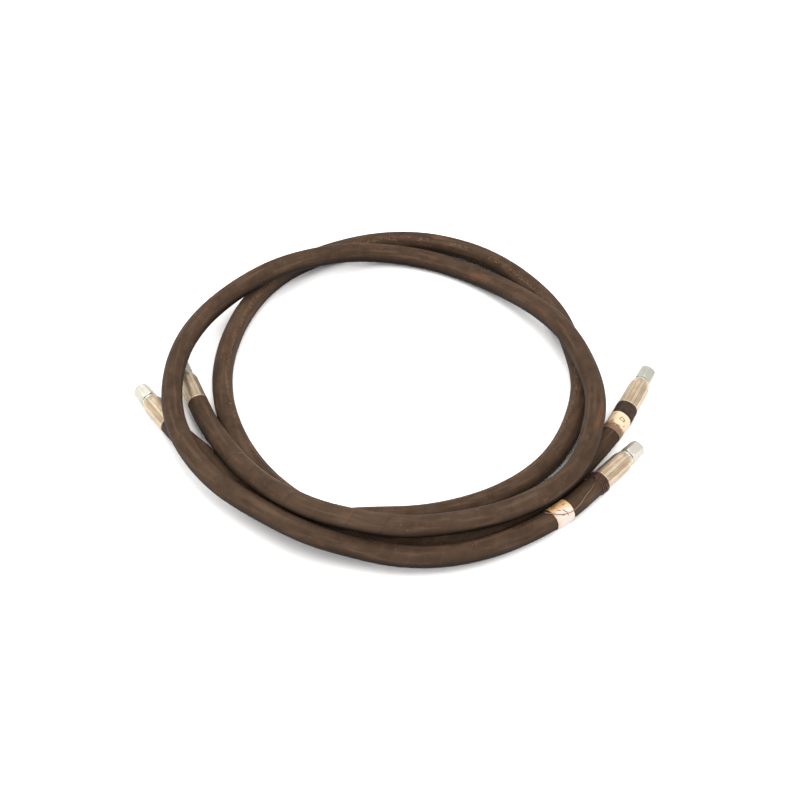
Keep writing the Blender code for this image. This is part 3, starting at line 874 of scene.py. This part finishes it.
def fitting(prefix, number, mouth, heading, nut_turn):
    """The five pieces of one hose end."""
    body, mouth = f"{prefix}_hose", np.array(mouth)
    tag = f"{prefix}_{{}}_{number}_fine"
    node = f"{prefix}_{{}}_{number}"
    kept = [
        placed(ferrule(tag.format("ferrule"), mouth, heading, GOLD, number + nut_turn),
               body, node.format("ferrule"), "yellow_zinc"),
        placed(nipple(tag.format("nipple"), mouth, heading, STEEL),
               body, node.format("nipple"), "bright_steel"),
        placed(thrust_ring(tag.format("thrust_ring"), mouth, heading, STEEL),
               body, node.format("thrust_ring"), "bright_steel"),
        placed(o_ring(tag.format("o_ring"), mouth, heading, RUBBER),
               body, node.format("o_ring"), "black_rubber"),
    ]
    nut = placed(swivel_nut(tag.format("swivel_nut"), mouth, heading, SILVER, nut_turn),
                 f"{prefix}_nut_{number}", node.format("swivel_nut"), "silver_zinc")
    return kept + [nut]


# ------------------------------------------------------------------- hoses

def cover_radii(free, length):
    """The cover's outer size at each section and angle: a slight swell and the wrap's edge."""
    angle = -circle(HOSE_SIDES)
    lap = free[:, None] / WRAP_PITCH + angle[None] / (2 * pi)
    lap = lap - np.floor(lap)
    easy = np.minimum(1, np.minimum(free, length - free) / 0.02)[:, None]
    swell = (0.00006 * np.sin(free * 31 + 1)[:, None]
             + 0.00005 * np.sin(free[:, None] * 83 + 2 * angle))
    edge = 0.00003 * np.exp(-((lap - 0.05) / 0.06) ** 2)
    return HOSE_RADIUS - COVER_INSET + easy * (swell - edge)


def hose(prefix, route, headings, cover_finish):
    """Cover, braid and inner tube of one hose, its dense centre line and its length."""
    body = f"{prefix}_hose"
    line = centre_line(route, headings)
    length = lengths_along(line)[-1]
    first, last = direction(headings[0]), direction(headings[1])
    free = np.linspace(0, length, ceil(length / STEP) + 1)

    ends = free.copy()
    ends[0], ends[-1] = GAP, length - GAP
    cover = swept_shell(f"{prefix}_cover_fine", at_lengths(line, ends), ends,
                        cover_radii(free, length), BRAID_RADIUS + GAP, HOSE_SIDES, cover_finish)
    placed(cover, body, f"{prefix}_cover", "hose_cover")

    reach = FERRULE_INSIDE - GAP
    points = at_lengths(line, free)
    points = np.vstack([points[:1] + reach * first, points[:1] + 0.5 * reach * first, points,
                        points[-1:] + 0.5 * reach * last, points[-1:] + reach * last])
    along = lengths_along(points) - reach
    braid = swept_shell(f"{prefix}_wire_braid_fine", points, along,
                        BRAID_RADIUS, TUBE_RADIUS + GAP, LAYER_SIDES, BRAID)
    placed(braid, body, f"{prefix}_wire_braid", "bright_steel")
    tube = swept_shell(f"{prefix}_inner_tube_fine", points, along,
                       TUBE_RADIUS, HOSE_BORE, LAYER_SIDES, RUBBER)
    placed(tube, body, f"{prefix}_inner_tube", "black_rubber")
    return cover, [braid, tube], line, length


def wrap(name, line, start, length, layers, finish, ragged, seed):
    """Film wound round the hose: a strip with its end lapped over its beginning."""
    angle = 2 * pi * layers * np.arange(FILM_SIDES + 1) / FILM_SIDES
    lift = FILM * 1.15 * angle / (2 * pi)
    near = ragged * (np.sin(5 * angle + seed) + 0.6 * np.sin(13 * angle + 2 * seed))
    far = ragged * (np.sin(4 * angle + 3 * seed) + 0.6 * np.sin(11 * angle + seed))
    _, side, up = frames_along(at_lengths(line, start + length * np.array([0.0, 0.5, 1.0])))
    turn = angle + seed
    out = np.cos(turn)[:, None] * up[1] + np.sin(turn)[:, None] * side[1]
    low, high = [], []
    for grid, under in ((low, FILM_UNDERSIDE), (high, FILM_UNDERSIDE + FILM)):
        radius = under + lift
        for t in np.linspace(0, 1, 13):
            distance = start + near * (1 - t) + far * t + length * t
            grid.append((at_lengths(line, distance) + radius[:, None] * out,
                         np.stack([radius * np.cos(turn), radius * np.sin(turn), distance],
                                  axis=1)))
    rows, rest = zip(*(high + low[::-1]))
    return strip_mesh(name, np.array(rows), np.array(rest), finish)


def strip_mesh(name, rows, rest, finish):
    """A closed thin strip: rows loop round its cross-section, columns run along it."""
    count, size = rows.shape[:2]
    index = np.arange(count * size).reshape(count, size)
    faces = []
    for i in range(count):
        j = (i + 1) % count
        for k in range(size - 1):
            faces.append((index[i, k], index[j, k], index[j, k + 1], index[i, k + 1]))
    half = count // 2
    for column in (0, size - 1):
        for i in range(half - 1):
            quad = (index[i, column], index[i + 1, column],
                    index[count - 2 - i, column], index[count - 1 - i, column])
            faces.append(quad if column else quad[::-1])
    return mesh_piece(name, rows, [[int(v) for v in f] for f in faces], rest, 50, finish)


def wire_piece(name, points, radius, finish):
    curve = bpy.data.curves.new(name, "CURVE")
    curve.dimensions = "3D"
    curve.bevel_depth = radius
    curve.bevel_resolution = 3
    curve.use_fill_caps = True
    spline = curve.splines.new("POLY")
    spline.points.add(len(points) - 1)
    for slot, point in zip(spline.points, points):
        slot.co = (*point, 1.0)
    curve.materials.append(finish)
    return added(name, curve)


def around(line, distance, angle, out):
    """Points beside a hose's centre line: how far along it, angle from the top, how far out."""
    centre = at_lengths(line, distance)
    tangent = at_lengths(line, distance + 0.002) - at_lengths(line, np.maximum(distance - 0.002, 0))
    tangent /= np.linalg.norm(tangent, axis=1)[:, None]
    outward = np.cross((0, 0, 1), tangent)
    outward /= np.linalg.norm(outward, axis=1)[:, None]
    up = np.cross(tangent, outward)
    return centre + out[:, None] * (np.cos(angle)[:, None] * up
                                    + np.sin(angle)[:, None] * outward)


def tie_wire(line):
    """Turns of soft wire behind the ferrule, a twisted knot and a loose tail."""
    lie = HOSE_RADIUS + GAP + WIRE_RADIUS
    t = np.arange(WIRE_TURNS * WIRE_STEPS + 1) / WIRE_STEPS
    distance = 0.0016 + t * 0.0017 + 0.0012 * np.sin(2 * pi * t * 0.83) * np.minimum(1, t)
    distance += 0.0005 * np.sin(2 * pi * t * 2.37)
    wound = around(line, distance, 2 * pi * t, lie + 0.0004 + 0.0004 * np.sin(5.3 * t))

    # the tail, with finer steps through the knot
    tail = np.array(WIRE_TAIL)
    smooth = np.concatenate([np.linspace(0, 2, 64), np.linspace(2, len(tail) - 1, 56)[1:]])
    where = np.interp(smooth, range(len(tail)), tail[:, 0])
    bend = np.radians(np.interp(smooth, range(len(tail)), tail[:, 1]))
    for values in (where, bend):
        values[1:-1] = (values[:-2] + values[1:-1] + values[2:]) / 3
    rise = np.interp(where, *zip(*WIRE_RISE))

    # the knot: the tail's first stretch is twisted into small loops
    twist = 2 * pi * KNOT_LOOPS * np.clip((where - KNOT_START) / KNOT_LENGTH, 0, 1)
    rise = rise + 0.0009 * (1 - np.cos(twist))
    bend = bend + 0.0010 / lie * np.sin(twist)
    loose = around(line, where, bend, lie + rise)
    return wire_piece("tie_wire_fine", np.vstack([wound, loose]), WIRE_RADIUS, WIRE)


def lower_dressing(line):
    """The lower hose's label, and the tape band between it and the ferrule."""
    film = label_film("lower_label_film", (2.0, 5.0, 1.0),
                      ((-0.004, 0.014), (0.56, 0.44, 0.30), (0.44, 0.31, 0.18)),
                      ((0.0385, 0.0455), 0.92, (0.110, 0.055, 0.026)), LOWER_STROKES)
    label = wrap("lower_label_fine", line, *LOWER_LABEL, 1.12, film, 0.00012, 2.2)
    tape = wrap("lower_tape_band_fine", line, *TAPE_BAND, 1.9,
                cloth_tape("dark_cloth_tape"), 0.00016, 0.7)
    placed(label, "lower_hose", "lower_label", "label_paper")
    placed(tape, "lower_hose", "lower_tape_band", "dark_tape")
    return [label, tape]


def upper_dressing(line):
    """The upper hose's label and tie wire."""
    film = label_film("upper_label_film", (7.0, 1.0, 4.0),
                      ((-0.007, 0.002), (0.56, 0.46, 0.41), (0.53, 0.31, 0.13)),
                      ((0.078, 0.094), 0.45, (0.34, 0.155, 0.070)), UPPER_STROKES)
    label = wrap("upper_label_fine", line, *UPPER_LABEL, 1.12, film, 0.00016, 4.4)
    placed(label, "upper_hose", "upper_label", "label_paper")
    wire = tie_wire(line)
    placed(wire, "upper_hose", "tie_wire", "rusty_wire")
    return [label, wire]


# ------------------------------------------------------------------- making everything

camera()

GOLD = plated("ferrule_plating", (0.40, 0.305, 0.205), (0.51, 0.420, 0.310),
              (0.165, 0.108, 0.062), 0.50, 0.28, (1.1, 4.2, 0.7), flats=8)
SILVER = plated("nut_plating", (0.45, 0.44, 0.395), (0.385, 0.375, 0.325),
                (0.25, 0.23, 0.18), 0.25, 0.30, (6.3, 0.4, 2.5))
STEEL = plain_steel("turned_steel")
BRAID = braid_steel("braided_wire")
RUBBER = black_rubber("nitrile_rubber")
WIRE = rusty_wire("rusty_tie_wire")

for prefix, route, headings, cover_finish, nut_turns, dressing in (
        ("lower", LOWER_ROUTE, LOWER_HEADINGS,
         hose_rubber("lower_cover_rubber", (3.1, 0.6, 1.9), True), (0.15, 0.38), lower_dressing),
        ("upper", UPPER_ROUTE, UPPER_HEADINGS,
         hose_rubber("upper_cover_rubber", (0.4, 7.7, 5.2), False), (0.82, 0.05), upper_dressing)):
    cover, on_it, line, length = hose(prefix, route, headings, cover_finish)
    ends = zip((route[0], route[-1]), headings, nut_turns)
    for number, (mouth, heading, nut_turn) in enumerate(ends, 1):
        on_it += fitting(prefix, number, mouth, heading, nut_turn)
    on_it += dressing(line)
    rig.cord(cover, exit=route[0], length=length, diameter=2 * HOSE_RADIUS, far_end="fitting",
            stiffness="stiff", lay="coiled", path=at_lengths(line, np.linspace(0, length, 400)),
            with_pieces=on_it)

floor_mesh = bpy.data.meshes.new("floor")
floor_mesh.from_pydata([(-6, -6, 0), (6, -6, 0), (6, 6, 0), (-6, 6, 0)], [], [(0, 1, 2, 3)])
floor_mesh.materials.append(floor_paper("floor_paper"))
floor = added("floor", floor_mesh)
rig.stage(floor)

sky()
area_light("key", (-0.6, 0.1, 2.4), (0, 0, 0), (3.0, 3.0), 56, (1.0, 0.985, 0.955))
area_light("fill", (0.9, -1.1, 2.1), (0, 0, 0), (1.4, 1.2), 30, (1.0, 0.98, 0.96))
bpy.context.scene.view_settings.view_transform = "Standard"

with open("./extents.json", "w") as out:
    json.dump({"cad": np.array(cad_box).tolist(), "visual": np.array(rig.bounds()).tolist()}, out)
